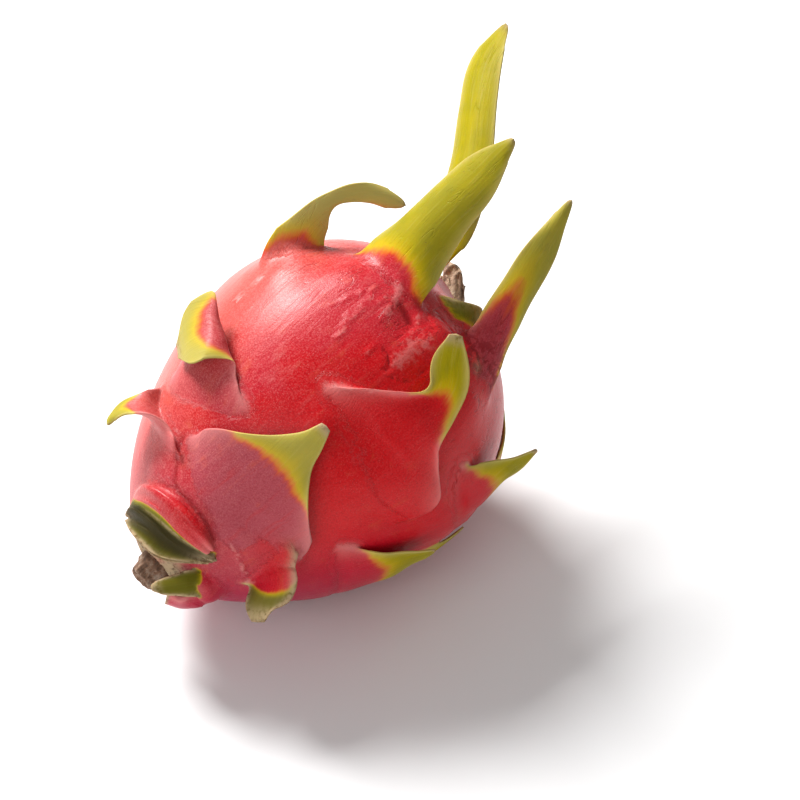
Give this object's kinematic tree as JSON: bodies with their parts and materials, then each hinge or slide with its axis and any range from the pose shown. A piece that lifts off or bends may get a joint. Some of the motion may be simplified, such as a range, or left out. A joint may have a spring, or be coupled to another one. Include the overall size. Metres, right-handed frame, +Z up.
{
  "type": "dragon fruit",
  "caption": "Whole dragon fruit lying on its side: plump red peel with curling green-tipped bracts, a withered flower at one end and a cut stem stub at the other.",
  "frame": {"origin": "centre of the small flat spot that the fruit rests on", "axes": "+Z up, +X along the ground from the stem end toward the blossom end"},
  "size_m": [0.1634, 0.1044, 0.121],
  "materials": {
    "peel": "waxy satin peel, pink-red, bracts turning yellow-green",
    "dried_flower": "dry, papery, matt",
    "cut_stem": "dry, fibrous, matt"
  },
  "bodies": {
    "root": {"fruit": "peel", "dried_flower": "dried_flower", "stem_stub": "cut_stem"}
  },
  "joints": []
}
